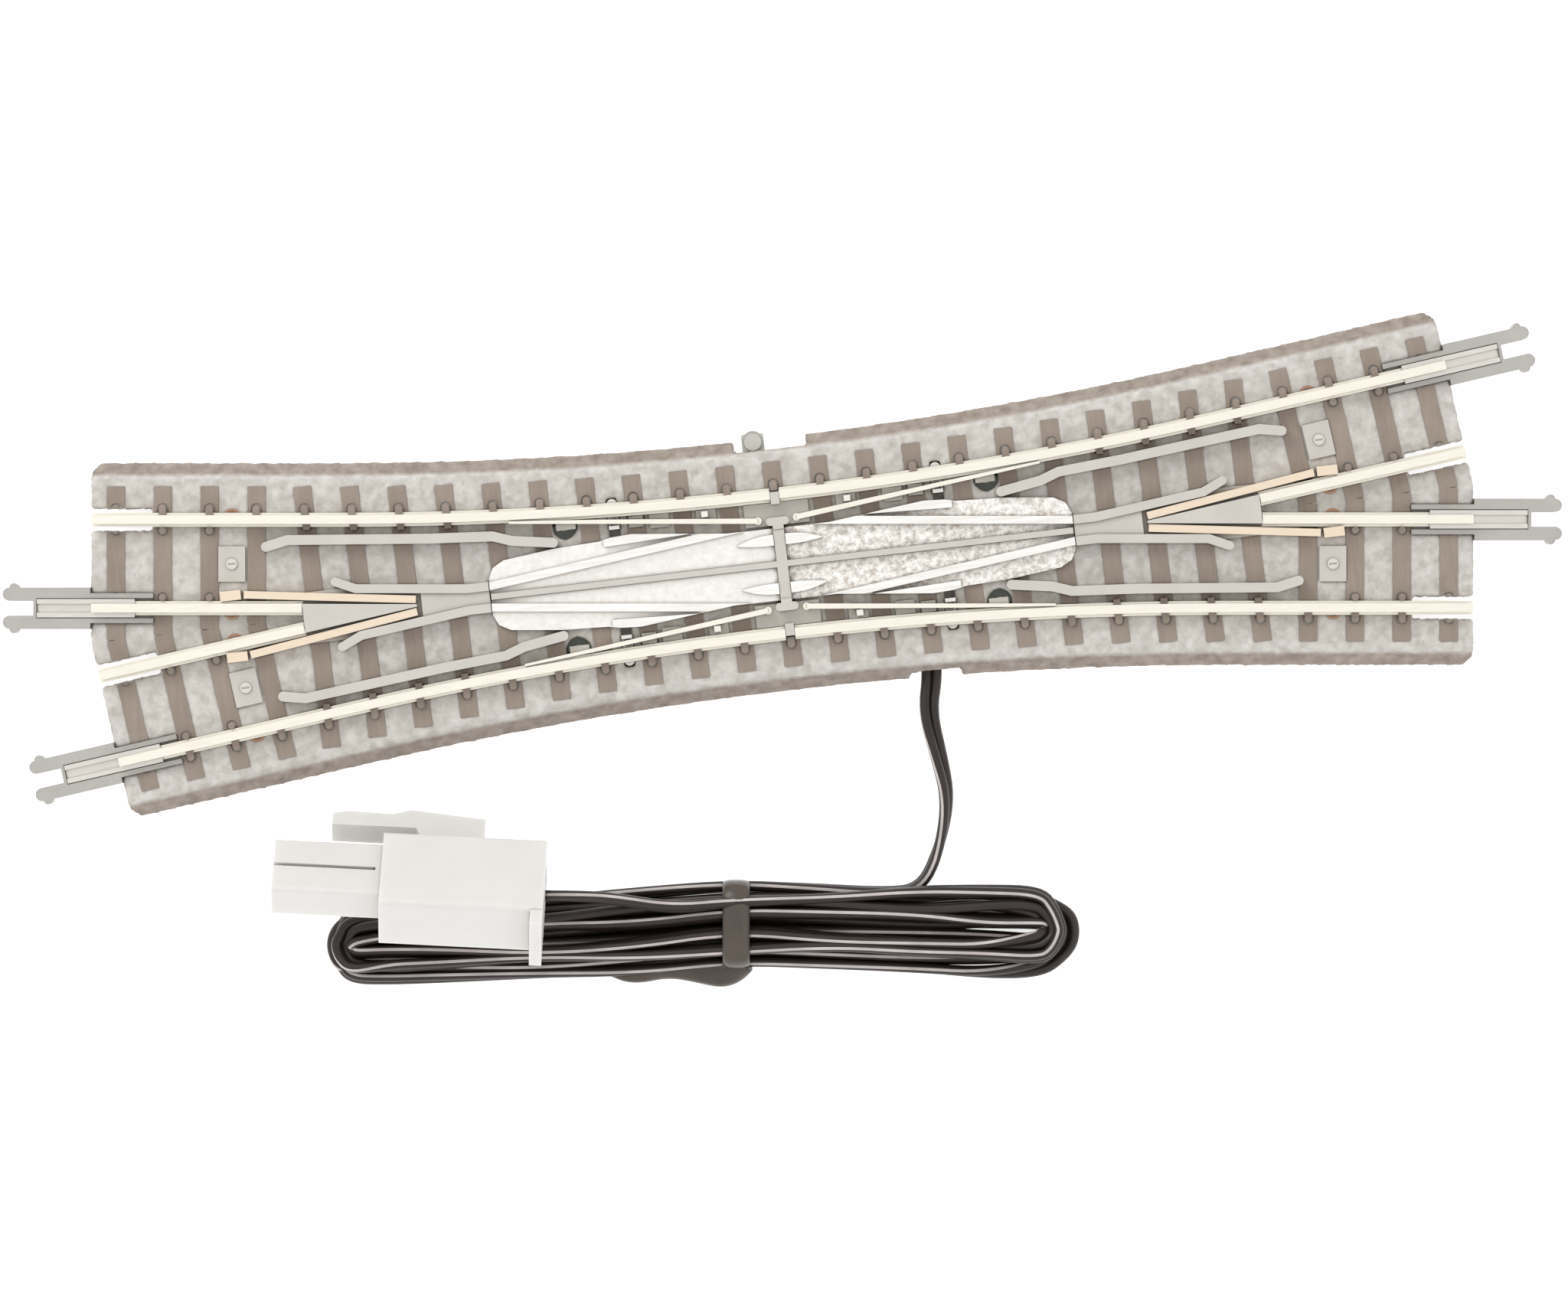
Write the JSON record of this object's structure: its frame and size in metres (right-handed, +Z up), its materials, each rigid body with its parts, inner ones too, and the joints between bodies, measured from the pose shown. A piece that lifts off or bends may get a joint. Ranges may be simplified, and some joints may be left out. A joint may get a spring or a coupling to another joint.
{
  "type": "model turnout switch",
  "caption": "Model railway double slip turnout on ballast roadbed with moving blades, hand lever, internal drive and corded plug.",
  "frame": {"origin": "centre of the crossing's symmetry on the base plane, z = 0 at the underside", "axes": "+X along the bisector of the two tracks, +Y across them on the lever's side, +Z up"},
  "size_m": [0.1276, 0.05, 0.013],
  "materials": {
    "ballast": "moulded ballast, light grey",
    "sleeper": "brown grey",
    "cover": "satin",
    "steel": "zinc plated",
    "rail": "nickel silver",
    "bronze": "phosphor bronze",
    "grey_plastic": "light grey",
    "casting": "bright casting",
    "white_plastic": "natural white",
    "clip_plastic": "translucent grey",
    "lever_plastic": "pale grey",
    "board": "green",
    "copper": "copper",
    "magnet": "nickel plated",
    "cord": "black",
    "tie": "black",
    "plug": "translucent white"
  },
  "bodies": {
    "base": {"blade_stops": "white_plastic", "bottom_cover": "cover", "cable_clamp": "grey_plastic", "cable_hank": "cord", "cable_lead": "cord", "cable_tie": "tie", "centre_insulator": "grey_plastic", "check_rail_lower_left": "grey_plastic", "check_rail_lower_right": "grey_plastic", "check_rail_upper_left": "grey_plastic", "check_rail_upper_right": "grey_plastic", "circuit_board_left": "board", "circuit_board_right": "board", "coil_bobbin": "white_plastic", "coil_winding": "copper", "contact_strips": "bronze", "contact_stubs": "bronze", "cover_screws": "steel", "crossing_casting_lower_left": "casting", "crossing_casting_lower_right": "casting", "crossing_casting_upper_left": "casting", "crossing_casting_upper_right": "casting", "feeder_rings": "copper", "frog_insert_left": "grey_plastic", "frog_insert_right": "grey_plastic", "heel_block_lower": "grey_plastic", "heel_block_upper": "grey_plastic", "heel_pins": "steel", "joiner_clip_lower_left": "clip_plastic", "joiner_clip_lower_right": "clip_plastic", "joiner_clip_upper_left": "clip_plastic", "joiner_clip_upper_right": "clip_plastic", "keeper_plate": "steel", "lead_rail_lower_left": "rail", "lead_rail_lower_right": "rail", "lead_rail_upper_left": "rail", "lead_rail_upper_right": "rail", "plug_housing": "plug", "plug_terminals": "bronze", "pole_core": "steel", "rail_joiners": "steel", "roadbed": "ballast", "selector_plates": "grey_plastic", "selector_screws": "steel", "sleepers": "sleeper", "slide_pads": "grey_plastic", "stock_rail_lower_left": "rail", "stock_rail_lower_right": "rail", "stock_rail_upper_left": "rail", "stock_rail_upper_right": "rail"},
    "slider": {"slide_bar": "white_plastic", "manual_lever": "lever_plastic", "drive_magnet": "magnet"},
    "yoke_upper": {"throw_yoke_upper": "white_plastic"},
    "yoke_lower": {"throw_yoke_lower": "white_plastic"},
    "blade_upper_left": {"point_blade_upper_left": "rail"},
    "blade_upper_right": {"point_blade_upper_right": "rail"},
    "blade_lower_left": {"point_blade_lower_left": "rail"},
    "blade_lower_right": {"point_blade_lower_right": "rail"}
  },
  "joints": [
    {"name": "lever_slide", "type": "slide", "parent": "base", "child": "slider", "axis": [1, 0, 0], "range_m": [0, 0.003]},
    {"name": "yoke_slide_upper", "type": "slide", "parent": "base", "child": "yoke_upper", "axis": [0, -1, 0], "range_m": [0, 0.0005]},
    {"name": "yoke_slide_lower", "type": "slide", "parent": "base", "child": "yoke_lower", "axis": [0, 1, 0], "range_m": [0, 0.0005]},
    {"name": "blade_hinge_upper_left", "type": "hinge", "parent": "base", "child": "blade_upper_left", "pos_m": [-0.0016, 0.00367, 0.004], "axis": [0, 0, 1], "range_deg": [0, 2.45]},
    {"name": "blade_hinge_upper_right", "type": "hinge", "parent": "base", "child": "blade_upper_right", "pos_m": [0.0016, 0.00367, 0.004], "axis": [0, 0, -1], "range_deg": [0, 2.45]},
    {"name": "blade_hinge_lower_left", "type": "hinge", "parent": "base", "child": "blade_lower_left", "pos_m": [-0.0016, -0.00367, 0.004], "axis": [0, 0, -1], "range_deg": [0, 2.45]},
    {"name": "blade_hinge_lower_right", "type": "hinge", "parent": "base", "child": "blade_lower_right", "pos_m": [0.0016, -0.00367, 0.004], "axis": [0, 0, 1], "range_deg": [0, 2.45]}
  ],
  "couplings": [
    {"joint": "yoke_slide_upper", "follows": "lever_slide", "ratio": 0.16667},
    {"joint": "yoke_slide_lower", "follows": "lever_slide", "ratio": 0.16667},
    {"joint": "blade_hinge_upper_left", "follows": "lever_slide", "rad_per_m": 14.245},
    {"joint": "blade_hinge_upper_right", "follows": "lever_slide", "rad_per_m": 14.245},
    {"joint": "blade_hinge_lower_left", "follows": "lever_slide", "rad_per_m": 14.245},
    {"joint": "blade_hinge_lower_right", "follows": "lever_slide", "rad_per_m": 14.245}
  ]
}
